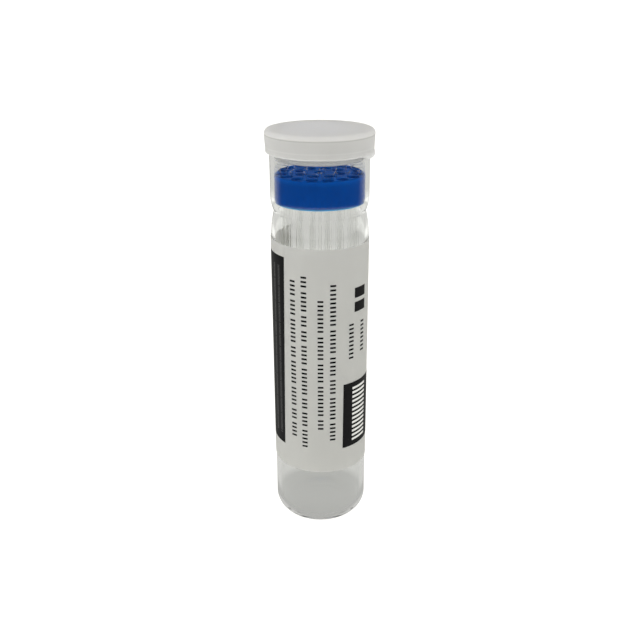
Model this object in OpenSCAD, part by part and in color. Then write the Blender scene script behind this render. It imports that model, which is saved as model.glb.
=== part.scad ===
// Pack of 25 funnel-topped glass capillary tubes.
// The tubes hang in the holes of a perforated disc, which rests on the waist of a
// snap-cap vial. A paper label is wrapped round its front. All sizes are in millimetres.
// Origin: centre of the vial's standing face, +Z up the vial's axis, -Y its label side.

/* [Vial] */
// Outer diameter of the vial's body and collar
vial_d = 25; // [24.4:0.1:30]
// Height of the vial from its standing face to its rim
vial_h = 106.7; // [105.5:0.1:112]
// Thickness of the vial's glass wall
glass_wall = 1; // [0.8:0.05:1.1]
// Thickness of the vial's floor
floor_t = 1.3; // [1:0.1:2.5]
// Outer radius of the rounded heel
heel_r = 5; // [3:0.25:6.5]
// Diameter of the pushed-up middle of the base
punt_d = 11; // [6:0.5:11]
// Height of the pushed-up middle of the base
punt_h = 0.3; // [0.1:0.05:0.6]

/* [Waist] */
// Height of the rim above the waist's narrowest point
collar_h = 19; // [17.5:0.1:22]
// Depth of the waist below the body's outer surface
waist_depth = 0.85; // [0.7:0.05:1.2]
// Length over which the body narrows into the waist from below
waist_run_low = 7; // [5.5:0.5:9]
// Length over which the collar narrows into the waist from above
waist_run_up = 4; // [3:0.25:5]
// Radius that rounds the waist's narrowest point
waist_fillet = 1; // [0.5:0.1:2]

/* [Perforated disc] */
// Thickness of the perforated disc
disc_t = 7.1; // [5:0.1:8]
// Gap between the disc's edge and the collar's bore
disc_gap = 0.15; // [0.1:0.05:0.4]
// Gap between the disc and the waist shoulder that it rests on
seat_gap = 0.05; // [0.03:0.01:0.2]
// Width of the bevel round the disc's lower edge
disc_bevel = 0.35; // [0.2:0.05:0.8]
// Radius of the round on the disc's upper edge
disc_round = 0.3; // [0.1:0.05:0.6]
// Diameter of the holes in the disc
hole_d = 2.8; // [2.4:0.1:3]
// Width of the bevel round the top of each hole
hole_bevel = 0.12; // [0.05:0.01:0.2]
// Plastic left between the outer ring of holes and the disc's edge
edge_web = 0.5; // [0.4:0.05:1]
// Radius of the inner ring of holes
inner_ring_r = 5.2; // [4.6:0.1:5.4]
// Turn of the inner ring of holes about the axis, in degrees
inner_ring_turn = 5; // [0:1:20]

/* [Capillary tubes] */
// Length of a tube with its funnel
tube_l = 80; // [60:1:82]
// Outer diameter of the straight tube
tube_d = 1; // [0.6:0.1:1.6]
// Thickness of the tube's glass wall
tube_wall = 0.12; // [0.08:0.01:0.15]
// Outer diameter of the funnel's mouth
mouth_d = 3.4; // [3.2:0.05:3.5]
// Height of the funnel's mouth above the disc
mouth_rise = 1.8; // [1.2:0.1:2.2]
// Gap between the funnel and the edge of its hole
funnel_gap = 0.1; // [0.05:0.01:0.15]
// Length over which the funnel tapers to the tube below the disc's top
taper_l = 11; // [7:0.5:16]

/* [Snap cap] */
// Thickness of the cap's skirt at its top
cap_wall = 0.95; // [0.8:0.05:1.6]
// Thickness of the cap's top
cap_top_t = 1; // [0.8:0.1:1.6]
// Height of the skirt below the underside of the top
skirt_h = 4.7; // [3.5:0.1:5]
// Gap between the skirt and the vial's collar
skirt_gap = 0.2; // [0.15:0.05:0.3]
// Gap between the vial's rim and the underside of the cap's top
rim_gap = 0.3; // [0.2:0.05:0.5]
// Gap between the plug ring and the vial's bore
plug_gap = 0.2; // [0.1:0.05:0.4]
// Thickness of the plug ring's wall
plug_wall = 0.9; // [0.6:0.05:1.4]
// Height of the plug ring below the underside of the top
plug_h = 6.3; // [4:0.1:6.5]
// Radius of the round on the top's outer edge
cap_round = 1.1; // [0.6:0.1:1.3]
// Draft of the skirt, taken off its radius at the lower edge
skirt_draft = 0.2; // [0.1:0.05:0.3]
// Radius of the round on the skirt's lower edge
skirt_round = 0.3; // [0.15:0.05:0.35]
// How far the lift lip hangs below the skirt
lip_drop = 0.8; // [0.5:0.1:2]
// Angle that the lift lip spans round the cap
lip_angle = 70; // [40:5:140]
// Relief of the lift lip's inner face beyond the skirt's bore
lip_relief = 0.1; // [0.05:0.01:0.2]

/* [Label] */
// Height of the label
label_h = 62.8; // [56:0.1:70]
// Distance from the start of the waist down to the label's upper edge
label_drop = 0; // [0:0.1:4]
// Thickness of the label's paper
label_t = 0.1; // [0.08:0.01:0.2]
// Gap between the label and the glass, filled by its glue
glue_t = 0.03; // [0.02:0.01:0.06]
// Length of the label round the vial
label_w = 50.8; // [40:0.1:60]
// Start of the label round the vial, in degrees from its front
label_start = -138; // [-160:1:-100]
// Thickness of the printed ink
ink_t = 0.05; // [0.03:0.01:0.08]
// Height from the label's lower edge to the print
print_margin = 6.4; // [4:0.1:8]
// Height of the tall black band
band_h = 53.3; // [40:0.1:54]
// Start of the black band round the label, in degrees from its front
band_start = -96; // [-98:1:-88]
// Angle that the black band spans
band_angle = 47; // [40:1:50]
// Height of the black field
field_h = 19; // [12:0.1:24]
// Start of the black field round the label, in degrees from its front
field_start = 28; // [26:1:40]
// Angle that the black field spans
field_angle = 62; // [40:1:64]
// Width of a printed line of dummy text
line_w = 1.2; // [0.8:0.1:1.6]
// Distance between two printed lines of dummy text
line_pitch = 3.6; // [3:0.1:3.8]

/* [Hidden] */
OUTER_HOLES = 16;
INNER_HOLES = 8;
TUBES = 1 + INNER_HOLES + OUTER_HOLES;
$fn = 96;
eps = 0.01;

vial_r = vial_d / 2;
bore_r = vial_r - glass_wall;

waist_z = vial_h - collar_h;

// Waist: a convex arc from below and one from above, tangent to the straight walls
waist_low_r = (pow(waist_run_low, 2) + pow(waist_depth, 2)) / (2 * waist_depth);
waist_up_r = (pow(waist_run_up, 2) + pow(waist_depth, 2)) / (2 * waist_depth);
waist_low_c = [vial_r - waist_low_r, waist_z - waist_run_low];
waist_up_c = [vial_r - waist_up_r, waist_z + waist_run_up];
fillet_c = outer_meeting(waist_low_c, waist_low_r + waist_fillet, waist_up_c, waist_up_r + waist_fillet);
low_end = angle_to(waist_low_c, fillet_c);
up_end = angle_to(waist_up_c, fillet_c);

// The disc rests where the upper shoulder's inner face is as wide as the disc
disc_r = bore_r - disc_gap;
seat_z = waist_up_c.y - sqrt(pow(waist_up_r - glass_wall, 2) - pow(disc_r + seat_gap - waist_up_c.x, 2));
disc_z = seat_z - disc_bevel;
disc_top = disc_z + disc_t;
outer_ring_r = disc_r - edge_web - hole_d / 2;

mouth_z = disc_top + mouth_rise;
tip_z = mouth_z - tube_l;

cap_r = vial_r + skirt_gap + cap_wall;
cap_under = vial_h + rim_gap;
cap_top = cap_under + cap_top_t;
skirt_z = cap_under - skirt_h;
plug_r = bore_r - plug_gap;

label_r = vial_r + glue_t;
label_z = waist_z - waist_run_low - label_drop - label_h;
ink_r = label_r + label_t;
print_z = label_z + print_margin;

// Points of a circular arc from angle a0 to angle a1, in n steps
function arc(c, r, a0, a1, n) =
    [for (i = [0:n]) let (a = a0 + (a1 - a0) * i / n) c + r * [cos(a), sin(a)]];

// Direction in degrees from point p to point q
function angle_to(p, q) = atan2(q.y - p.y, q.x - p.x);

// The meeting point, away from the axis, of two circles
function outer_meeting(c0, r0, c1, r1) =
    let (d = norm(c1 - c0), u = (c1 - c0) / d, along = (r0 * r0 - r1 * r1 + d * d) / (2 * d))
    c0 + along * u + sqrt(r0 * r0 - along * along) * [u.y, -u.x];

// The wall between heel and rim, inset from the outer surface
function wall_line(inset) = concat(
    arc(waist_low_c, waist_low_r - inset, 0, low_end, 6),
    arc(fillet_c, waist_fillet + inset, low_end + 180, up_end + 180, 6),
    arc(waist_up_c, waist_up_r - inset, up_end, 0, 5));

function reversed(points) = [for (i = [len(points) - 1:-1:0]) points[i]];

function tube_name(i) = str("capillary_", i < 10 ? "0" : "", i);

// Place of tube i in the disc: the middle, then the inner ring, then the outer ring
function tube_place(i) =
    i == 1 ? [0, 0] :
    i <= 1 + INNER_HOLES ? ring_place(inner_ring_r, i - 2, INNER_HOLES, inner_ring_turn) :
    ring_place(outer_ring_r, i - 2 - INNER_HOLES, OUTER_HOLES, 0);

// Place k of n round a ring, counted from the front, half a pitch to its right
function ring_place(r, k, n, turn) = let (a = (k + 0.5) * 360 / n + turn - 90) r * [cos(a), sin(a)];

module vial() {
    heel_c = [vial_r - heel_r, heel_r];
    inner_heel_r = heel_r - glass_wall;
    inner_heel_c = [heel_c.x, floor_t + inner_heel_r];
    punt_r = punt_d / 2;
    punt_sphere_r = (pow(punt_r, 2) + pow(punt_h, 2)) / (2 * punt_h);
    punt_half = asin(punt_r / punt_sphere_r);
    punt_line = arc([0, punt_h - punt_sphere_r], punt_sphere_r, 90, 90 - punt_half, 4);
    rim_r = glass_wall / 2;
    color("aliceblue", 0.35)
    rotate_extrude()
    polygon(concat(
        punt_line,
        arc(heel_c, heel_r, -90, 0, 10),
        wall_line(0),
        arc([vial_r - rim_r, vial_h - rim_r], rim_r, 0, 180, 8),
        reversed(wall_line(glass_wall)),
        arc(inner_heel_c, inner_heel_r, 0, -90, 10),
        reversed([for (p = punt_line) p + [0, floor_t]])));
}

module snap_cap() {
    plug_bevel = plug_wall / 2;
    skirt_bore_r = vial_r + skirt_gap;
    skirt_r = cap_r - skirt_draft;
    lip_z = skirt_z - lip_drop;
    lip_bore_r = skirt_bore_r + lip_relief;
    color("whitesmoke") {
        rotate_extrude()
        polygon(concat(
            [[0, cap_top]],
            arc([cap_r - cap_round, cap_top - cap_round], cap_round, 90, 0, 6),
            arc([skirt_r - skirt_round, skirt_z + skirt_round], skirt_round, 0, -90, 4),
            [[skirt_bore_r, skirt_z], [skirt_bore_r, cap_under], [plug_r, cap_under],
             [plug_r, cap_under - plug_h + plug_bevel], [plug_r - plug_bevel, cap_under - plug_h],
             [plug_r - plug_wall, cap_under - plug_h], [plug_r - plug_wall, cap_under], [0, cap_under]]));
        // Lift lip: a short flange below the skirt on the right, standing out to the cap's full radius
        rotate([0, 0, -lip_angle / 2])
        rotate_extrude(angle = lip_angle)
        polygon([[lip_bore_r, lip_z], [cap_r - skirt_round, lip_z], [cap_r, lip_z + skirt_round],
                 [cap_r, skirt_z + skirt_round], [skirt_r - skirt_round, skirt_z + 2 * skirt_round],
                 [lip_bore_r, skirt_z + 2 * skirt_round]]);
    }
}

module perforated_disc() {
    color("royalblue")
    difference() {
        rotate_extrude()
        polygon(concat(
            [[0, disc_z], [disc_r - disc_bevel, disc_z], [disc_r, disc_z + disc_bevel]],
            arc([disc_r - disc_round, disc_top - disc_round], disc_round, 0, 90, 4),
            [[0, disc_top]]));
        for (i = [1:TUBES]) translate(tube_place(i)) {
            translate([0, 0, disc_z - eps]) cylinder(d = hole_d, h = disc_t + 2 * eps);
            translate([0, 0, disc_top - hole_bevel])
            cylinder(r1 = hole_d / 2, r2 = hole_d / 2 + hole_bevel, h = hole_bevel + eps);
        }
    }
}

// One capillary: a rounded closed tip, a straight tube, and a funnel with a flared mouth
module capillary(i) {
    tip_r = tube_d / 2;
    throat_r = hole_d / 2 - funnel_gap;
    mouth_r = mouth_d / 2;
    flare_z = disc_top + hole_bevel + funnel_gap;
    taper_z = disc_top - taper_l;
    taper = [for (k = [0:6]) let (s = k / 6)
        [tip_r + (throat_r - tip_r) * (1 - cos(180 * s)) / 2, taper_z + taper_l * s]];
    flare = [for (k = [1:3]) let (a = 30 * k)
        [mouth_r - (mouth_r - throat_r) * cos(a), flare_z + (mouth_z - flare_z) * sin(a) * sin(a)]];
    outside = concat(arc([0, tip_z + tip_r], tip_r, -90, 0, 4), taper, flare);
    inside = concat(arc([0, tip_z + tip_r], tip_r - tube_wall, -90, 0, 4),
                    [for (p = concat(taper, flare)) p - [tube_wall, 0]]);
    color("lightcyan", 0.4)
    translate(tube_place(i))
    rotate_extrude($fn = 32)
    polygon(concat(outside, reversed(inside)));
}

// A sheet bent round the vial: from angle a0 over the given angle, counted from the front
module wrap(r, t, a0, angle, z, h) {
    rotate([0, 0, a0 - 90])
    rotate_extrude(angle = angle)
    translate([r, z]) square([t, h]);
}

module label() {
    label_angle = label_w / (label_r + label_t / 2) * 180 / PI;
    color("gainsboro")
    wrap(label_r, label_t, label_start, label_angle, label_z, label_h);
}

// Lines of dummy text as plain bars: middle in line pitches round the label from its front, start
// and end as shares of the band's height, and width as a share of a line's width
module label_print() {
    lines = [[-2, 0.06, 0.89, 1], [-1.1, 0.01, 0.92, 1], [0, 0.13, 0.81, 1], [0.9, 0.05, 0.88, 1],
             [3.25, 0.72, 0.85, 1.8], [3.55, 0.51, 0.67, 0.8], [2.4, 0.49, 0.67, 0.8]];
    color("black") {
        wrap(ink_r, ink_t, band_start, band_angle, print_z, band_h);
        wrap(ink_r, ink_t, field_start, field_angle, print_z, field_h);
        for (l = lines) {
            angle = line_w * l[3] / ink_r * 180 / PI;
            middle = line_pitch * l[0] / ink_r * 180 / PI;
            wrap(ink_r, ink_t, middle - angle / 2, angle, print_z + band_h * l[1], band_h * (l[2] - l[1]));
        }
    }
}

vial();
snap_cap();
perforated_disc();
label();
label_print();
for (i = [1:TUBES]) {
    capillary(i);
}
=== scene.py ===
"""Looks for the vial of glass capillary tubes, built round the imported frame.

The vial stands on the ground with its axis on Z, and the label's front faces -Y. Shapes are
written in millimetres, and MM scales them to the frame's metres. Materials, floor, lamps and
camera are in metres wherever MM doesn't stand beside a length. Angles on the label are in
degrees from its front, to the right as the camera sees it.
"""
import math
import random

import bmesh
import bpy
from mathutils import Matrix, Vector


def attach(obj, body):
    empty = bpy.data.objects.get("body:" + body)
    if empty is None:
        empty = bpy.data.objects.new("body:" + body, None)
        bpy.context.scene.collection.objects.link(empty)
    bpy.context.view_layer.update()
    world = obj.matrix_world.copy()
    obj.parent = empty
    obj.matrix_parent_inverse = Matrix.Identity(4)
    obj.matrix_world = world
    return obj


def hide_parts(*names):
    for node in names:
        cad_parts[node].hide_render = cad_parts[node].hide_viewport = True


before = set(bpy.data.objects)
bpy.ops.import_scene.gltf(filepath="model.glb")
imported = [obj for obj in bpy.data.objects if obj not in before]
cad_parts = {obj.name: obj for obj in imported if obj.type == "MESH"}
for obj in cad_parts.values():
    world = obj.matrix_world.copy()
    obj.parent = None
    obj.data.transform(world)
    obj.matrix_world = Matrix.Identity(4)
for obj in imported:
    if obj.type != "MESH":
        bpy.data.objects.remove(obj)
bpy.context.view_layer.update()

MM = 0.001

# ---------------------------------------------------------------- sizes, as in the CAD, in mm
VIAL_R, VIAL_H, WALL = 12.5, 106.7, 1.0
BASE_T, HEEL_R = 1.3, 5.0         # the base's thickness, and the rounding at its edge
PUNT_R, PUNT_H = 5.5, 0.3         # the middle of the base, pushed up
WAIST_Z, WAIST_DEPTH, WAIST_FILLET = 87.7, 0.85, 1.0
RUN_LOW, RUN_UP = 7.0, 4.0        # how far the waist reaches below and above its narrowest point
DISC_R, DISC_Z, DISC_TOP = 11.35, 90.02, 97.12    # radius, underside and upper side
DISC_BEVEL, DISC_ROUND = 0.35, 0.3
HOLE_R, HOLE_BEVEL = 1.4, 0.12
# Rings of holes round the middle one: radius, number of holes, and turn in degrees.
HOLE_RINGS = ((5.2, 8, 5.0), (9.45, 16, 0.0))
TUBE_R, THROAT_R, MOUTH_R = 0.5, 1.3, 1.7
# Heights of a tube's closed tip, of where its taper and its flare start, and of its mouth.
TUBE_TIP, TUBE_TAPER, TUBE_FLARE, TUBE_MOUTH = 18.92, 86.12, 97.34, 98.92
CAP_R, CAP_TOP, CAP_UNDER, CAP_ROUND = 13.65, 108.0, 107.0, 1.1
SKIRT_BORE, SKIRT_Z, SKIRT_DRAFT, SKIRT_ROUND = 12.7, 102.3, 0.2, 0.3
PLUG_R, PLUG_WALL, PLUG_Z = 11.3, 0.9, 100.7
LIP_Z, LIP_HALF = 101.5, 35.0     # the lift lip's lower edge, and half its span in degrees
LABEL_R, LABEL_T, LABEL_Z, LABEL_H = 12.53, 0.1, 17.9, 62.8
LABEL_W, LABEL_START = 50.8, -138.0               # its width laid flat, and its left end's angle
PRINT_Z, BAND_H, FIELD_H = 24.3, 53.3, 19.0

# ---------------------------------------------------------------- finer sizes, in mm and degrees
TUBE_WALL = 0.05
FILM_Z = 95.0                     # above here a tube's wall is blown to a film
LIP_BLEND = 14.0                  # the skirt turns into the lip over this angle
LIP_BORE = 0.1                    # the lip stands this much further off the glass
# A fine step in the skirt's wall, how far it stands out and how far it sinks at the lip.
SKIRT_STEP, LIP_STEP, LIP_SINK = 0.03, 0.02, 0.32
EDGE_ROUND = 0.12                 # the skirt's lower edge, inside
PLATE_ROUND, PLUG_ROUND = 0.2, 0.15
SKEW = -0.213                     # mm of height lost per radian round the label
DEG_PER_MM = math.degrees(1 / LABEL_R)

# Number of straight steps in each turned form, all the way round.
VIAL_STEPS, TUBE_STEPS, CAP_STEPS, DISC_STEPS, HOLE_STEPS = 192, 32, 240, 160, 32
LABEL_COLUMNS, LABEL_ROWS = 160, 24
WALL_ROWS, WAIST_ROWS, TAPER_ROWS = 12, 12, 14
COLLAR_ROWS = (0.3, 0.6, 0.9, 0.99)   # shares of the collar's height
SKIRT_ROWS = (0.3, 0.6, 0.85)         # shares of the skirt's height, from its top
PLATE_ROWS = (5.0, 9.5)               # radii on the cap's plate
DISC_ROWS = (2.5, 5.0)                # heights above the disc's underside
TIP_ROW = 2.0                         # height above a tube's tip
CAP_SHARP, LABEL_SHARP, DISC_SHARP = 50, 40, 30   # edges over these angles stay sharp

# ---------------------------------------------------------------- print, generic, in mm
INK_T, MARK_T = 0.02, 0.01        # thickness of the ink, and of the marks that lie on it
# The black band and the black field: first and last angle, lower edge, height, and how far round
# the label the upper edge lies from the lower one, in degrees.
BAND = (-96.0, -49.5, PRINT_Z, BAND_H, 4.3)
FIELD = (28.0, 90.0, PRINT_Z + 0.3, FIELD_H, 0.6)
# Lines of dashes that stand for text: middle, measured round the label, lower and upper end,
# length of the dashes across the line, and the shortest and longest word.
TEXT_LINES = ((-7.3, 27.1, 72.2, 1.45, (3.2, 9.0)), (-4.2, 25.0, 73.6, 1.45, (3.0, 9.0)),
              (0.05, 30.9, 67.5, 1.45, (3.0, 9.0)), (3.25, 26.6, 71.6, 1.5, (4.0, 12.0)),
              (12.9, 51.5, 60.3, 1.5, (9.0, 9.1)), (8.6, 50.5, 60.3, 1.5, (10.0, 10.1)))
FAINT_LINES = ((-12.2, 27.0, 75.0, 0.9, (3.0, 7.0)), (-14.4, 27.0, 75.0, 0.9, (3.0, 7.0)))
DASH, DASH_GAP = 0.5, 0.65
FAINT_DASH, FAINT_GAP = 0.2, 0.2
# Two black squares: both edges round the label, height, and lower edges.
SQUARE_FROM, SQUARE_TO, SQUARE_H, SQUARES_Z = 9.6, 14.0, 2.7, (67.1, 63.3)
# Light bars in the field: number, both edges round the label, lowest edge, pitch and height.
BARS, BAR_FROM, BAR_TO, BAR_Z, BAR_PITCH, BAR_H = 13, 9.2, 14.8, PRINT_Z + 1.8, 1.28, 0.64
PRINT_SEED = 7

# ---------------------------------------------------------------- tubes' glass
# The mesh's walls are thicker than real ones, so the glass has a lower index of refraction than
# real glass. It is lowest in the mouths' film. The straight tubes also have a touch of haze.
TUBE_BEND, TUBE_CLEAR = 1.25, 0.99
FILM_BEND, FILM_CLEAR = 1.08, 1.0

# ---------------------------------------------------------------- studio
# Strength of the floor and of the sky: in plain sight, on matt surfaces, and through or in glass.
FLOOR_SEEN, FLOOR_LIT, FLOOR_GLASS = 0.92, 0.66, 0.55
FLOOR_LIT_INSIDE = 1.0            # on matt surfaces behind glass, where the lamps don't reach
SKY_SEEN, SKY_LIT = 1.06, 0.74
SKY_LEFT, SKY_RIGHT = 1.10, 1.05  # on matt surfaces, far to the sides
SKY_TOP, SKY_FRONT, SKY_BACK = 0.62, 0.52, 0.57   # in glass: overhead, low in front, low behind

# Shares of FLOOR_GLASS. Each pair says where the floor fades from one share to the next: between
# two distances from the vial in metres, or two directions, from -1 in front of it to 1 behind it.
FLOOR_DARK = 0.005                # in front of the vial, from DARK_FROM to DARK_TO and up to BEHIND
DARK_FROM, DARK_TO, BEHIND = (0.20, 0.25), (0.60, 0.80), (0.2, 0.6)
# The darker pool under the vial is a painted shadow.
FLOOR_UNDER, FLOOR_OUTSIDE = 0.75, 1.08           # in the soft pool under the vial, and past it
POOL_EDGE = (0.0175, 0.0215)
FLOOR_NEAR, FLOOR_PAST = 1.20, 0.98               # round the vial, and beyond
NEAR_FROM, NEAR_TO = (0.04, 0.07), (0.24, 0.27)
FLOOR_FLANKS = 0.70               # added in two patches behind the vial, to the left and right
FLANKS_FROM, FLANKS_TO = (0.285, 0.305), (0.36, 0.40)
FLANKS_OUT, FLANKS_IN = (0.66, 0.76), (0.93, 0.99)

FLOOR_HALF, FLOOR_DROP = 12.0, 0.00002            # half its side, and how far it lies below Z = 0

# The lamps: name, place, width and height in metres, and power in watts.
PANELS = (("left_front_panel", (-1.0, -0.46, 0.28), (2.0, 0.6), 3.6),
          ("right_front_panel", (1.0, -0.46, 0.28), (2.0, 0.6), 1.8),
          ("left_back_panel", (-0.85, 0.50, 0.35), (1.6, 0.6), 1.2),
          ("right_back_panel", (0.85, 0.50, 0.35), (1.6, 0.6), 2.0),
          ("top_panel", (0.0, -0.45, 0.72), (0.24, 0.24), 0.8))
PANELS_AIM = (0.0, 0.0, 0.06)

CAMERA_PLACE, CAMERA_LENS, SENSOR = (-0.00005, -0.2041, 0.1405), 46.4, 36.0
CAMERA_DOWN, CAMERA_ROLL = 22.18, -0.17           # degrees below the horizon, and of roll
CLIP_START, CLIP_END = 0.005, 50.0


# ---------------------------------------------------------------- mesh helpers
def arc(cx, cz, r, a0, a1, n):
    """n + 1 points of a circular arc, as (radius, height)."""
    return [(cx + r * math.cos(math.radians(a0 + (a1 - a0) * i / n)),
             cz + r * math.sin(math.radians(a0 + (a1 - a0) * i / n))) for i in range(n + 1)]


def link_object(name, mesh, material):
    """An object of the scene that shows a mesh."""
    obj = bpy.data.objects.new(name, mesh)
    bpy.context.scene.collection.objects.link(obj)
    mesh.materials.append(material)
    return obj


def new_object(name, verts, faces, material, smooth=True, sharp_deg=None):
    """A mesh object from points in millimetres."""
    mesh = bpy.data.meshes.new(name)
    mesh.from_pydata([tuple(c * MM for c in v) for v in verts], [], faces)
    mesh.validate()
    bm = bmesh.new()
    bm.from_mesh(mesh)
    bmesh.ops.remove_doubles(bm, verts=bm.verts, dist=1e-7)
    bmesh.ops.recalc_face_normals(bm, faces=bm.faces)
    bm.to_mesh(mesh)
    bm.free()
    if smooth:
        mesh.shade_smooth()
        if sharp_deg:
            mesh.set_sharp_from_angle(angle=math.radians(sharp_deg))
    return link_object(name, mesh, material)


def lathe(name, profile, segments, material, sharp_deg=None, centre=(0.0, 0.0)):
    """Turns a profile about the vertical axis through centre. profile is a list of (radius,
    height), or a function of the angle in degrees, counted from +X, that gives such a list."""
    verts, faces, rows = [], [], []
    for s in range(segments):
        a = 2 * math.pi * s / segments
        points = profile(math.degrees(a)) if callable(profile) else profile
        row = []
        for k, (r, z) in enumerate(points):
            if r < 1e-9 and s > 0:
                row.append(rows[0][k])
                continue
            row.append(len(verts))
            verts.append((centre[0] + r * math.cos(a), centre[1] + r * math.sin(a), z))
        rows.append(row)
    for s in range(segments):
        here, there = rows[s], rows[(s + 1) % segments]
        for k in range(len(here) - 1):
            quad = list(dict.fromkeys((here[k], there[k], there[k + 1], here[k + 1])))
            if len(quad) >= 3:
                faces.append(quad)
    return new_object(name, verts, faces, material, sharp_deg=sharp_deg)


def on_label(u_deg, r, z):
    """A point at an angle from the label's front, to the right, with the label's skew."""
    a = math.radians(u_deg)
    return (r * math.sin(a), -r * math.cos(a), z + SKEW * a)


class Sheets:
    """Thin closed sheets that lie round the vial at radius r, gathered into one mesh."""

    def __init__(self, r, t):
        self.r = r
        self.t = t
        self.verts = []
        self.faces = []

    def add(self, u0, across, z0, high, columns, rows, slant=0.0):
        """A sheet from angle u0 over across degrees, and from height z0 over high. slant moves
        its upper edge round the label, in degrees."""
        base = len(self.verts)
        def at(side, i, j):
            return base + (side * (columns + 1) + i) * (rows + 1) + j
        for side in (0, 1):
            for i in range(columns + 1):
                u = u0 + across * i / columns
                for j in range(rows + 1):
                    self.verts.append(on_label(u + slant * j / rows, self.r + side * self.t,
                                               z0 + high * j / rows))
        for i in range(columns):
            for j in range(rows):
                self.faces.append([at(0, i, j), at(0, i, j + 1),
                                   at(0, i + 1, j + 1), at(0, i + 1, j)])
                self.faces.append([at(1, i, j), at(1, i + 1, j),
                                   at(1, i + 1, j + 1), at(1, i, j + 1)])
            for j in (0, rows):
                self.faces.append([at(0, i, j), at(0, i + 1, j), at(1, i + 1, j), at(1, i, j)])
        for i in (0, columns):
            for j in range(rows):
                self.faces.append([at(0, i, j), at(1, i, j), at(1, i, j + 1), at(0, i, j + 1)])

    def patch(self, u0, u1, z0, z1, slant=0.0, step=3.0):
        """A sheet from angle u0 to u1 and height z0 to z1, in columns of step degrees at most."""
        columns = max(1, math.ceil(abs(u1 - u0) / step))
        rows = max(1, math.ceil(abs(slant) / 0.5))
        self.add(u0, u1 - u0, z0, z1 - z0, columns, rows, slant)

    def line(self, rng, middle, z0, z1, length, words, dash, gap):
        """A line of dummy text that runs down the label: plain dashes across the line, in words."""
        left, right = (middle - length / 2) * DEG_PER_MM, (middle + length / 2) * DEG_PER_MM
        z = z1
        while z - dash > z0:
            end = max(z - rng.uniform(*words), z0)
            while z - dash > end:
                self.patch(left, right, z - dash, z, step=6.0)
                z -= dash + gap
            z -= gap

    def finish(self, name, material):
        """The object, with flat faces."""
        return new_object(name, self.verts, self.faces, material, smooth=False)


# ---------------------------------------------------------------- materials
class Nodes:
    """The node tree of a new material or world, with short ways to add and link nodes."""

    def __init__(self, data, output="ShaderNodeOutputMaterial", coordinates="Object"):
        data.use_nodes = True
        self.data = data
        self.tree = data.node_tree
        self.tree.nodes.clear()
        self.output = self.add(output)
        self.coordinates = self.add("ShaderNodeTexCoord").outputs[coordinates]

    def feed(self, value, socket):
        """Links another node's output to a socket, or writes a number or colour on it."""
        if isinstance(value, bpy.types.NodeSocket):
            self.tree.links.new(value, socket)
        else:
            socket.default_value = value

    def add(self, kind, **values):
        """A node with its settings, and its inputs by their names, with _ for each space."""
        node = self.tree.nodes.new(kind)
        for key, value in values.items():
            if hasattr(node, key):
                setattr(node, key, value)
            else:
                self.feed(value, node.inputs[key.replace("_", " ")])
        return node

    def noise(self, scale, detail, roughness, stretch=(1, 1, 1)):
        """Cloudy noise from 0 to 1. A stretch under 1 draws it out along that axis."""
        mapping = self.add("ShaderNodeMapping", Scale=stretch, Vector=self.coordinates)
        return self.add("ShaderNodeTexNoise", Scale=scale, Detail=detail, Roughness=roughness,
                        Vector=mapping.outputs["Vector"]).outputs["Fac"]

    def ramp(self, source, *stops):
        """Colours along source. A stop is a place and a colour, or a place and a level of grey."""
        node = self.add("ShaderNodeValToRGB", Fac=source)
        elements = node.color_ramp.elements
        while len(elements) < len(stops):
            elements.new(0.5)
        for element, (place, colour) in zip(elements, stops):
            element.position = place
            element.color = (*(colour if isinstance(colour, tuple) else (colour,) * 3), 1.0)
        return node.outputs["Color"]

    def span(self, source, low, high, start=0.0, end=1.0):
        """low where source is at start or before it, high where it is at end or past it."""
        node = self.add("ShaderNodeMapRange", Value=source, From_Min=start, From_Max=end,
                        To_Min=low, To_Max=high)
        return node.outputs["Result"]

    def axis(self, letter, vector=None):
        """One part of the coordinates, or of another vector."""
        whole = self.coordinates if vector is None else vector
        return self.add("ShaderNodeSeparateXYZ", Vector=whole).outputs[letter]

    def math(self, operation, one, two):
        """An operation on two numbers or sockets."""
        node = self.add("ShaderNodeMath", operation=operation)
        self.feed(one, node.inputs[0])
        self.feed(two, node.inputs[1])
        return node.outputs[0]

    def product(self, first, *others):
        """All the values multiplied."""
        for other in others:
            first = self.math("MULTIPLY", first, other)
        return first

    def vector(self, operation, *values):
        """An operation on vectors. LENGTH gives a number, the others a vector."""
        node = self.add("ShaderNodeVectorMath", operation=operation)
        for value, socket in zip(values, node.inputs):
            self.feed(value, socket)
        return node.outputs["Value" if operation == "LENGTH" else "Vector"]

    def radius(self):
        """Distance from the vial's axis."""
        return self.vector("LENGTH", self.vector("MULTIPLY", self.coordinates, (1, 1, 0)))

    def colour(self, share, low, high):
        """Fades from the colour low to the colour high."""
        node = self.add("ShaderNodeMix", data_type="RGBA", Factor=share)
        self.feed(low, node.inputs[6])
        self.feed(high, node.inputs[7])
        return node.outputs[2]

    def shaders(self, share, one, two):
        """Fades from the shader one to the shader two."""
        node = self.add("ShaderNodeMixShader", Fac=share)
        self.feed(one, node.inputs[1])
        self.feed(two, node.inputs[2])
        return node.outputs["Shader"]

    def bump(self, source, strength, distance):
        """A relief by source, as a normal. distance is in metres."""
        node = self.add("ShaderNodeBump", Strength=strength, Distance=distance, Height=source)
        return node.outputs["Normal"]

    def finish(self, shader):
        """Links the last shader to the output, and gives the material or world."""
        self.feed(shader, self.output.inputs["Surface"])
        return self.data


def material_nodes(name):
    """The nodes of a new material."""
    return Nodes(bpy.data.materials.new(name))


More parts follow.
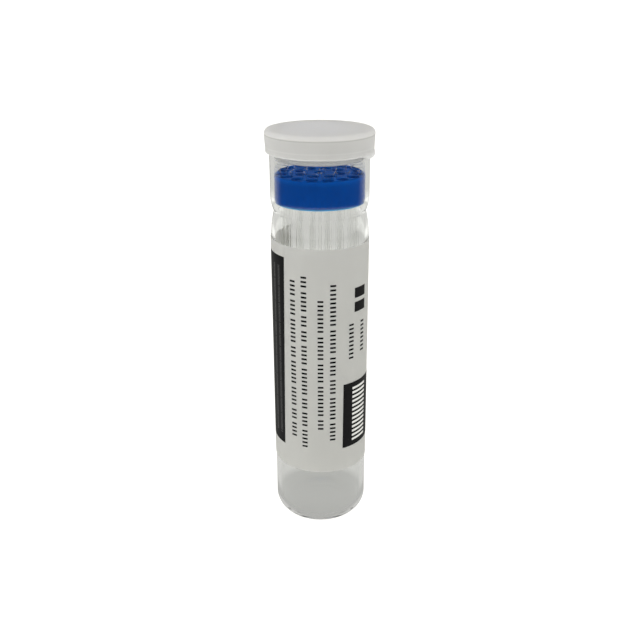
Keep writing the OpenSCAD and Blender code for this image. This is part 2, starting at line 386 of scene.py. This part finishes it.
def vial_glass():
    """Blown glass: faint upright waves, and smears that are a little less clear."""
    n = material_nodes("vial_glass")
    glass = n.add("ShaderNodeBsdfPrincipled", Base_Color=(0.985, 0.99, 0.982, 1), Roughness=0.0,
                  IOR=1.5, Transmission_Weight=1.0)
    waves = n.noise(90.0, 2.0, 0.4, (1, 1, 0.15))
    n.feed(n.bump(waves, 0.12, 0.0004), glass.inputs["Normal"])
    smears = n.noise(240.0, 4.0, 0.6)
    n.feed(n.span(smears, 0.0, 0.035, 0.45, 0.75), glass.inputs["Roughness"])
    return n.finish(glass.outputs["BSDF"])


def tube_glass(name, bend, clear):
    """Drawn glass, with long fine streaks. bend is its index of refraction, and clear the share
    of it that isn't haze."""
    n = material_nodes(name)
    draws = n.noise(500.0, 2.0, 0.4, (1, 1, 0.04))
    glass = n.add("ShaderNodeBsdfPrincipled", Base_Color=(0.998, 0.999, 0.996, 1), Roughness=0.0,
                  IOR=bend, Transmission_Weight=clear, Normal=n.bump(draws, 0.1, 0.0001))
    return n.finish(glass.outputs["BSDF"])


def cap_plastic():
    """Milky plastic that lets some light through, with light and shade painted by height: painted
    greyer in the skirt, a painted shade line below the plate's rounding, and painted near white on
    the plate."""
    n = material_nodes("cap_plastic")
    height = n.axis("Z")
    cloud = n.noise(160.0, 3.0, 0.5)
    tint = n.ramp(cloud, (0.3, (0.96, 0.96, 0.945)), (0.7, (0.985, 0.985, 0.97)))
    # Painted light and shade by height, from the skirt's lower edge, at 0, to the plate's upper
    # side, at 1: painted bright below the skirt's lower edge, where the plug lies in shade, painted
    # greyer on the skirt with a faint lighter line, a painted shade line below the plate's
    # rounding, and the plate painted near white.
    painted_shading = n.ramp(n.span(height, 0.0, 1.0, SKIRT_Z * MM, CAP_TOP * MM),
                   (0.0, 1.0), (0.02, 0.72), (0.22, 0.67), (0.27, 0.73), (0.32, 0.66),
                   (0.745, 0.66), (0.785, 0.46), (0.83, 0.99), (0.96, 1.0), (0.995, 0.98))
    # The lift lip, which hangs below the rest of the skirt, is darker on its outer side, near the
    # wall's painted grey.
    lip = n.math("MAXIMUM", n.span(n.radius(), 1.0, 0.72, (VIAL_R - 0.5) * MM, VIAL_R * MM),
                 n.span(height, 0.0, 1.0, (SKIRT_Z - 0.1) * MM, (SKIRT_Z + 0.1) * MM))
    grain = n.noise(2600.0, 2.0, 0.5)
    body = n.add("ShaderNodeBsdfPrincipled", IOR=1.51, Specular_IOR_Level=0.3,
                 Base_Color=n.vector("MULTIPLY", n.vector("MULTIPLY", tint, painted_shading), lip),
                 Subsurface_Weight=1.0, Subsurface_Scale=0.0015, Subsurface_Radius=(1.0, 1.0, 0.95),
                 Transmission_Weight=0.15, Roughness=n.span(cloud, 0.27, 0.36),
                 Normal=n.bump(grain, 0.15, 0.00005))
    # The share that shines through: least in the lip, most in the plate.
    through = n.add("ShaderNodeBsdfTranslucent", Color=(0.965, 0.955, 0.92, 1))
    walls = n.span(height, 0.03, 0.16, (SKIRT_Z - 0.3) * MM, (SKIRT_Z + 0.7) * MM)
    plate = n.span(height, 0.0, 0.42, (CAP_UNDER - 0.4) * MM, CAP_UNDER * MM)
    return n.finish(n.shaders(n.math("MAXIMUM", walls, plate), body.outputs["BSDF"],
                              through.outputs["BSDF"]))


def disc_plastic():
    """Deep blue on the wall, with painted light: a lighter blue painted on the faces, in the holes
    and towards the wall's upper edge, and a painted highlight line round its foot."""
    n = material_nodes("disc_plastic")
    height = n.axis("Z")
    cloud = n.noise(120.0, 3.0, 0.55)
    wall = n.ramp(cloud, (0.3, (0.0001, 0.074, 0.41)), (0.7, (0.0003, 0.090, 0.48)))
    faces = n.ramp(cloud, (0.3, (0.003, 0.185, 0.90)), (0.7, (0.006, 0.220, 0.96)))
    # Painted light: the faces and the holes take the lighter blue, and the wall fades towards it
    # near its upper edge.
    within = n.span(n.radius(), 1.0, 0.0, (DISC_R - 0.5) * MM, (DISC_R - 0.1) * MM)
    shoulder = n.span(height, 0.0, 0.35, (DISC_TOP - 1.3) * MM, (DISC_TOP - 0.1) * MM)
    # Painted highlight: a light cyan line round the foot of the outer wall.
    low = n.span(height, 0.8, 0.0, (DISC_Z + 0.1) * MM, (DISC_Z + 0.55) * MM)
    outside = n.span(n.radius(), 0.0, 0.8, (DISC_R - 0.5) * MM, (DISC_R - 0.3) * MM)
    tint = n.colour(n.math("MINIMUM", low, outside),
                    n.colour(n.math("MAXIMUM", within, shoulder), wall, faces),
                    (0.10, 0.62, 1.0, 1))
    grain = n.noise(1800.0, 2.0, 0.5)
    body = n.add("ShaderNodeBsdfPrincipled", Roughness=0.28, IOR=1.5, Specular_IOR_Level=0.004,
                 Base_Color=tint, Normal=n.bump(grain, 0.12, 0.00005))
    return n.finish(body.outputs["BSDF"])


def label_paper():
    """Coated paper with fine fibres, which lets light through."""
    n = material_nodes("label_paper")
    cloud = n.noise(220.0, 4.0, 0.6)
    fibres = n.noise(3200.0, 4.0, 0.6, (1, 1, 0.6))
    face = n.add("ShaderNodeBsdfPrincipled", Roughness=0.55, IOR=1.45, Specular_IOR_Level=0.35,
                 Base_Color=n.ramp(cloud, (0.3, (0.76, 0.76, 0.74)), (0.7, (0.795, 0.795, 0.775))),
                 Normal=n.bump(fibres, 0.18, 0.00004))
    through = n.add("ShaderNodeBsdfTranslucent", Color=(0.95, 0.95, 0.925, 1))
    return n.finish(n.shaders(0.62, face.outputs["BSDF"], through.outputs["BSDF"]))


def label_ink():
    """Black ink, a little uneven in tone and gloss."""
    n = material_nodes("label_ink")
    cloud = n.noise(900.0, 4.0, 0.65)
    body = n.add("ShaderNodeBsdfPrincipled", IOR=1.5, Specular_IOR_Level=0.12,
                 Base_Color=n.ramp(cloud, (0.35, (0.003, 0.003, 0.0035)),
                                   (0.75, (0.007, 0.007, 0.0075))),
                 Roughness=n.span(cloud, 0.5, 0.65))
    return n.finish(body.outputs["BSDF"])


def mark_paint(name, low, high):
    """The marks on the ink, mottled between two colours."""
    n = material_nodes(name)
    cloud = n.noise(700.0, 3.0, 0.6)
    body = n.add("ShaderNodeBsdfPrincipled", Roughness=0.5, IOR=1.45,
                 Base_Color=n.ramp(cloud, (0.3, low), (0.7, high)))
    return n.finish(body.outputs["BSDF"])


def pale_floor():
    """A pale matt floor that glows softly, as over a light table: near white in plain sight, and
    greyer in glass, so that clear pieces keep their outlines."""
    n = material_nodes("pale_floor")
    path = n.add("ShaderNodeLightPath")
    seen = path.outputs["Is Camera Ray"]
    matt = n.math("MINIMUM", path.outputs["Diffuse Depth"], 1.0)
    inside = n.math("MINIMUM", path.outputs["Transmission Depth"], 1.0)
    far = n.vector("LENGTH", n.coordinates)
    back = n.axis("Y", n.vector("NORMALIZE", n.coordinates))

    # The floor in glass: dark in front of the vial and bright behind it, with a soft painted shadow
    # under the vial, a brighter stretch round it and a bright patch on each side behind.
    open_part = n.math("MAXIMUM", n.span(far, 1.0, FLOOR_DARK, *DARK_FROM),
                       n.span(back, FLOOR_DARK, 1.0, *BEHIND))
    painted_shadow_pool = n.span(far, FLOOR_UNDER, FLOOR_OUTSIDE, *POOL_EDGE)
    near = n.math("MINIMUM", n.span(far, 1.0, FLOOR_NEAR, *NEAR_FROM),
                  n.span(far, FLOOR_NEAR, FLOOR_PAST, *NEAR_TO))
    shape = n.math("MAXIMUM", n.product(open_part, painted_shadow_pool, near),
                   n.span(far, FLOOR_DARK, 1.0, *DARK_TO))
    flanks = n.product(n.span(far, 0.0, FLOOR_FLANKS, *FLANKS_FROM),
                       n.span(far, 1.0, 0.0, *FLANKS_TO),
                       n.span(back, 0.0, 1.0, *FLANKS_OUT), n.span(back, 1.0, 0.0, *FLANKS_IN))
    in_glass = n.product(shape, n.math("ADD", flanks, 1.0), FLOOR_GLASS)

    lit = n.span(inside, FLOOR_LIT, FLOOR_LIT_INSIDE)
    glow = n.add("ShaderNodeEmission", Color=(1.0, 1.0, 0.965, 1),
                 Strength=n.span(seen, n.span(matt, in_glass, lit), FLOOR_SEEN))
    cloud = n.span(n.noise(4.0, 2.0, 0.5), 0.29, 0.31, 0.3, 0.7)
    share = n.math("MAXIMUM", n.math("MAXIMUM", seen, matt), 0.1)
    body = n.add("ShaderNodeBsdfPrincipled", Roughness=0.9, Specular_IOR_Level=0.1,
                 Base_Color=n.product(cloud, share))
    both = n.add("ShaderNodeAddShader")
    n.feed(body.outputs["BSDF"], both.inputs[0])
    n.feed(glow.outputs["Emission"], both.inputs[1])
    n.data.cycles.emission_sampling = "NONE"
    return n.finish(both.outputs["Shader"])


# ---------------------------------------------------------------- pieces
def waist_line(inset):
    """The wall from the body over the waist to the collar, inset from the outer surface: two arcs
    tangent to the straight walls, joined by a fillet at the narrowest point."""
    low_r = (RUN_LOW ** 2 + WAIST_DEPTH ** 2) / (2 * WAIST_DEPTH)
    up_r = (RUN_UP ** 2 + WAIST_DEPTH ** 2) / (2 * WAIST_DEPTH)
    low_c = Vector((VIAL_R - low_r, WAIST_Z - RUN_LOW))
    up_c = Vector((VIAL_R - up_r, WAIST_Z + RUN_UP))
    r0, r1 = low_r + WAIST_FILLET, up_r + WAIST_FILLET
    gap = up_c - low_c
    d = gap.length
    u = gap / d
    along = (r0 * r0 - r1 * r1 + d * d) / (2 * d)
    mid = low_c + along * u + math.sqrt(r0 * r0 - along * along) * Vector((u.y, -u.x))
    low_end = math.degrees(math.atan2(mid.y - low_c.y, mid.x - low_c.x))
    up_end = math.degrees(math.atan2(mid.y - up_c.y, mid.x - up_c.x))
    return (arc(*low_c, low_r - inset, 0, low_end, WAIST_ROWS)
            + arc(*mid, WAIST_FILLET + inset, low_end + 180, up_end + 180, WAIST_ROWS)[1:]
            + arc(*up_c, up_r - inset, up_end, 0, WAIST_ROWS)[1:])


def make_vial():
    """The blown glass in one skin: up the outside from the base, over the rim, down the inside."""
    sphere = (PUNT_R ** 2 + PUNT_H ** 2) / (2 * PUNT_H)
    half = math.degrees(math.asin(PUNT_R / sphere))
    punt = [(0.0, PUNT_H)] + arc(0, PUNT_H - sphere, sphere, 90, 90 - half, 8)[1:]
    heel_x, inner_r, rim = VIAL_R - HEEL_R, HEEL_R - WALL, WALL / 2
    waist_low, collar_low = WAIST_Z - RUN_LOW, WAIST_Z + RUN_UP
    body = [HEEL_R + (waist_low - HEEL_R) * i / WALL_ROWS for i in range(1, WALL_ROWS)]
    collar = [collar_low + (VIAL_H - rim - collar_low) * s for s in COLLAR_ROWS]
    profile = (punt + arc(heel_x, HEEL_R, HEEL_R, -90, 0, 20)
               + [(VIAL_R, z) for z in body] + waist_line(0) + [(VIAL_R, z) for z in collar]
               + arc(VIAL_R - rim, VIAL_H - rim, rim, 0, 180, 14)
               + [(VIAL_R - WALL, z) for z in collar[::-1]] + waist_line(WALL)[::-1]
               + [(VIAL_R - WALL, z) for z in body[::-1]]
               + arc(heel_x, BASE_T + inner_r, inner_r, 0, -90, 20)
               + [(r, z + BASE_T) for r, z in punt[::-1]])
    return lathe("glass_vial", profile, VIAL_STEPS, vial_glass())


def hole_places():
    """The middles of the disc's holes, which are the tubes' axes too."""
    places = [(0.0, 0.0)]
    for radius, count, turn in HOLE_RINGS:
        for k in range(count):
            a = math.radians((k + 0.5) * 360 / count + turn - 90)
            places.append((radius * math.cos(a), radius * math.sin(a)))
    return places


def make_tubes(places):
    """The capillary tubes, with funnel mouths and closed tips, and film glass in the mouths."""
    glass = tube_glass("capillary_glass", TUBE_BEND, TUBE_CLEAR)
    film = tube_glass("mouth_glass", FILM_BEND, FILM_CLEAR)
    taper = []
    for k in range(TAPER_ROWS + 1):
        s = k / TAPER_ROWS
        taper.append((TUBE_R + (THROAT_R - TUBE_R) * (1 - math.cos(math.pi * s)) / 2,
                      TUBE_TAPER + (DISC_TOP - TUBE_TAPER) * s))
    flare = [(MOUTH_R - (MOUTH_R - THROAT_R) * math.cos(math.radians(a)),
              TUBE_FLARE + (TUBE_MOUTH - TUBE_FLARE) * math.sin(math.radians(a)) ** 2)
             for a in range(15, 91, 15)]
    rise = taper + flare
    tip = arc(0, TUBE_TIP + TUBE_R, TUBE_R, -90, 0, 6)
    inner_tip = arc(0, TUBE_TIP + TUBE_R, TUBE_R - TUBE_WALL, -90, 0, 6)
    above_tip = TUBE_TIP + TIP_ROW
    profile = ([(0.0, tip[0][1])] + tip[1:] + [(TUBE_R, above_tip)] + rise
               + [(r - TUBE_WALL, z) for r, z in rise[::-1]] + [(TUBE_R - TUBE_WALL, above_tip)]
               + inner_tip[:0:-1] + [(0.0, inner_tip[0][1])])
    made = []
    for i, place in enumerate(places):
        piece = lathe("tube_%02d" % (i + 1), profile, TUBE_STEPS, glass, centre=place)
        piece.data.materials.append(film)
        for face in piece.data.polygons:
            face.material_index = int(face.center.z > FILM_Z * MM)
        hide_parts("capillary_%02d" % (i + 1))
        made.append(piece)
    return made


def make_cap():
    """One moulding: its skirt's lower edge follows the lift lip round the right side."""
    over = SKIRT_Z + 2 * SKIRT_ROUND
    shoulder = CAP_TOP - CAP_ROUND
    plug_in, half = PLUG_R - PLUG_WALL, PLUG_WALL / 2
    plate = ([(r, CAP_TOP) for r in (0.0, *PLATE_ROWS)]
             + arc(CAP_R - CAP_ROUND, shoulder, CAP_ROUND, 90, 0, 10)
             + [(CAP_R - SKIRT_DRAFT * s, shoulder + (over - CAP_TOP + CAP_ROUND) * s)
                for s in SKIRT_ROWS])
    inside = [(SKIRT_BORE, over + 0.1), (SKIRT_BORE, CAP_UNDER - PLATE_ROUND),
              (SKIRT_BORE - 0.06, CAP_UNDER - 0.06), (SKIRT_BORE - PLATE_ROUND, CAP_UNDER)]
    plug = [(PLUG_R + PLUG_ROUND, CAP_UNDER), (PLUG_R, CAP_UNDER - PLUG_ROUND),
            (PLUG_R, PLUG_Z + half + 0.2), (PLUG_R - 0.1, PLUG_Z + half - 0.1),
            (PLUG_R - half, PLUG_Z + 0.05), (PLUG_R - half - 0.1, PLUG_Z),
            (plug_in + PLUG_ROUND, PLUG_Z), (plug_in, PLUG_Z + PLUG_ROUND),
            (plug_in, CAP_UNDER - PLATE_ROUND), (plug_in - PLATE_ROUND, CAP_UNDER)]
    ceiling = [(PLATE_ROWS[0], CAP_UNDER), (0.0, CAP_UNDER)]

    def profile(angle):
        away = abs((angle + 180) % 360 - 180)
        lip = min(1.0, max(0.0, (LIP_HALF + LIP_BLEND / 2 - away) / LIP_BLEND))
        lip = lip * lip * (3 - 2 * lip)
        low = SKIRT_Z + (LIP_Z - SKIRT_Z) * lip
        out = CAP_R - SKIRT_DRAFT * (1 - lip)
        bore = SKIRT_BORE + LIP_BORE * lip
        skirt = ([(CAP_R - SKIRT_DRAFT + LIP_STEP * lip, over),
                  (out - SKIRT_STEP * (1 - lip), over - LIP_SINK * lip)]
                 + arc(out - SKIRT_ROUND, low + SKIRT_ROUND, SKIRT_ROUND, 0, -90, 5)
                 + arc(bore + EDGE_ROUND, low + EDGE_ROUND, EDGE_ROUND, -90, -180, 3)
                 + [(bore, (low + over) / 2)])
        return plate + skirt + inside + plug + ceiling
    return lathe("cap_moulding", profile, CAP_STEPS, cap_plastic(), sharp_deg=CAP_SHARP)


def make_disc(places):
    """The holder disc: a turned rim, two pierced faces and a chamfered wall in each hole."""
    bm = bmesh.new()
    def ring(cx, cy, r, z, n):
        return [bm.verts.new(((cx + r * math.cos(2 * math.pi * i / n)) * MM,
                              (cy + r * math.sin(2 * math.pi * i / n)) * MM, z * MM))
                for i in range(n)]
    def bridge(a, b):
        for i in range(len(a)):
            j = (i + 1) % len(a)
            bm.faces.new((a[i], a[j], b[j], b[i]))
    rim = ([(DISC_R - DISC_BEVEL, DISC_Z), (DISC_R, DISC_Z + DISC_BEVEL)]
           + [(DISC_R, DISC_Z + h) for h in DISC_ROWS]
           + arc(DISC_R - DISC_ROUND, DISC_TOP - DISC_ROUND, DISC_ROUND, 0, 90, 6))
    rows = [ring(0, 0, r, z, DISC_STEPS) for r, z in rim]
    for a, b in zip(rows, rows[1:]):
        bridge(a, b)
    wall = [(HOLE_R, DISC_Z), (HOLE_R, DISC_TOP - HOLE_BEVEL), (HOLE_R + HOLE_BEVEL, DISC_TOP)]
    lows, highs = [rows[0]], [rows[-1]]
    for cx, cy in places:
        hole = [ring(cx, cy, r, z, HOLE_STEPS) for r, z in wall]
        for a, b in zip(hole, hole[1:]):
            bridge(b, a)
        lows.append(hole[0])
        highs.append(hole[-1])
    for loops in (lows, highs):
        edges = []
        for loop in loops:
            edges += [bm.edges.get(pair) for pair in zip(loop, loop[1:] + loop[:1])]
        bmesh.ops.triangle_fill(bm, use_beauty=True, use_dissolve=False, edges=edges)
    bmesh.ops.recalc_face_normals(bm, faces=bm.faces)
    mesh = bpy.data.meshes.new("holder_disc")
    bm.to_mesh(mesh)
    bm.free()
    mesh.shade_smooth()
    mesh.set_sharp_from_angle(angle=math.radians(DISC_SHARP))
    return link_object("holder_disc", mesh, disc_plastic())


def make_label():
    """The paper sheet, as a closed strip."""
    sheet = Sheets(LABEL_R, LABEL_T)
    across = math.degrees(LABEL_W / (LABEL_R + LABEL_T / 2))
    sheet.add(LABEL_START, across, LABEL_Z, LABEL_H, LABEL_COLUMNS, LABEL_ROWS)
    return new_object("paper_label", sheet.verts, sheet.faces, label_paper(), sharp_deg=LABEL_SHARP)


def make_ink(rng):
    """Black band, black field, lines of dummy text and two black squares."""
    ink = Sheets(LABEL_R + LABEL_T, INK_T)
    for first, last, low, high, slant in (BAND, FIELD):
        ink.patch(first, last, low, low + high, slant=slant)
    for line in TEXT_LINES:
        ink.line(rng, *line, DASH, DASH_GAP)
    for low in SQUARES_Z:
        ink.patch(SQUARE_FROM * DEG_PER_MM, SQUARE_TO * DEG_PER_MM, low, low + SQUARE_H)
    return ink.finish("ink_print", label_ink())


def make_faint_marks(rng):
    """Two lines of small dummy marks, dark grey on the black band."""
    marks = Sheets(LABEL_R + LABEL_T + INK_T, MARK_T)
    for line in FAINT_LINES:
        marks.line(rng, *line, FAINT_DASH, FAINT_GAP)
    return marks.finish("faint_marks",
                        mark_paint("faint_ink", (0.03, 0.03, 0.03), (0.06, 0.06, 0.06)))


def make_reversed_marks():
    """Light bars in the black field."""
    marks = Sheets(LABEL_R + LABEL_T + INK_T, MARK_T)
    for k in range(BARS):
        low = BAR_Z + BAR_PITCH * k
        marks.patch(BAR_FROM * DEG_PER_MM, BAR_TO * DEG_PER_MM, low, low + BAR_H)
    return marks.finish("reversed_marks",
                        mark_paint("paper_marks", (0.66, 0.66, 0.63), (0.74, 0.74, 0.71)))


def assemble():
    """Makes each piece, hides the CAD part that it stands in for, where there is one, and hangs it
    on the body that carries it.
    """
    vial = make_vial()
    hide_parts("vial")
    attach(vial, "vial")

    cap = make_cap()
    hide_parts("snap_cap")
    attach(cap, "cap")

    places = hole_places()
    disc = make_disc(places)
    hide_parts("perforated_disc")
    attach(disc, "vial")

    for tube in make_tubes(places):
        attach(tube, "vial")

    label = make_label()
    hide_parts("label")
    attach(label, "vial")

    rng = random.Random(PRINT_SEED)
    ink = make_ink(rng)
    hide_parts("label_print")
    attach(ink, "vial")
    faint = make_faint_marks(rng)
    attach(faint, "vial")
    light = make_reversed_marks()
    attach(light, "vial")


# ---------------------------------------------------------------- stage, lights and camera
def make_floor():
    """A wide square, a hair below the ground, so that it doesn't touch the vial's base."""
    s = FLOOR_HALF
    mesh = bpy.data.meshes.new("floor")
    mesh.from_pydata([(-s, -s, 0), (s, -s, 0), (s, s, 0), (-s, s, 0)], [], [(0, 1, 2, 3)])
    floor = link_object("floor", mesh, pale_floor())
    floor.location.z = -FLOOR_DROP


def make_sky():
    """A pale, even sky: near white in plain sight, lighter to the sides on matt surfaces, and
    greyer in glass. Its coordinates are the direction that it is seen in."""
    world = bpy.data.worlds.new("studio")
    bpy.context.scene.world = world
    n = Nodes(world, "ShaderNodeOutputWorld", "Generated")
    path = n.add("ShaderNodeLightPath")
    across = n.axis("X")
    low = n.span(n.axis("Y"), SKY_FRONT, SKY_BACK, 0.2, 0.7)
    in_glass = n.span(n.axis("Z"), low, SKY_TOP, 0.2, 0.55)
    right = n.span(across, SKY_LIT, SKY_RIGHT, 0.3, 0.95)
    on_matt = n.span(across, right, SKY_LEFT, -0.3, -0.95)
    unseen = n.span(path.outputs["Diffuse Depth"], in_glass, on_matt)
    background = n.add("ShaderNodeBackground", Color=(1.0, 0.99, 0.965, 1),
                       Strength=n.span(path.outputs["Is Camera Ray"], unseen, SKY_SEEN))
    n.finish(background.outputs["Background"])
    world.cycles.sampling_method = "NONE"


def make_lamps():
    """Soft panels. They light matt surfaces, and aren't mirrored or seen through glass."""
    for name, place, size, power in PANELS:
        data = bpy.data.lights.new(name, "AREA")
        data.shape = "RECTANGLE"
        data.size, data.size_y = size
        data.energy = power
        lamp = bpy.data.objects.new(name, data)
        lamp.location = place
        lamp.visible_camera = False
        lamp.visible_glossy = False
        lamp.visible_transmission = False
        aim = Vector(PANELS_AIM) - Vector(place)
        lamp.rotation_euler = aim.to_track_quat("-Z", "Y").to_euler()
        bpy.context.scene.collection.objects.link(lamp)


def make_camera():
    """The camera at the photograph's angle."""
    data = bpy.data.cameras.new("camera")
    data.lens = CAMERA_LENS
    data.sensor_width = SENSOR
    data.clip_start = CLIP_START
    data.clip_end = CLIP_END
    camera = bpy.data.objects.new("camera", data)
    tilt = Matrix.Rotation(math.radians(90 - CAMERA_DOWN), 4, "X")
    roll = Matrix.Rotation(math.radians(CAMERA_ROLL), 4, "Z")
    camera.matrix_world = Matrix.Translation(CAMERA_PLACE) @ tilt @ roll
    bpy.context.scene.collection.objects.link(camera)
    bpy.context.scene.camera = camera


def set_scene():
    """Plain colours, and enough bounces for light to pass through all the tubes."""
    scene = bpy.context.scene
    scene.view_settings.view_transform = "Standard"
    scene.view_settings.look = "None"
    scene.cycles.max_bounces = 80
    scene.cycles.diffuse_bounces = 14
    scene.cycles.transmission_bounces = 80
    scene.cycles.glossy_bounces = 60
    scene.cycles.transparent_max_bounces = 40


make_camera()
assemble()
make_floor()
make_sky()
make_lamps()
set_scene()
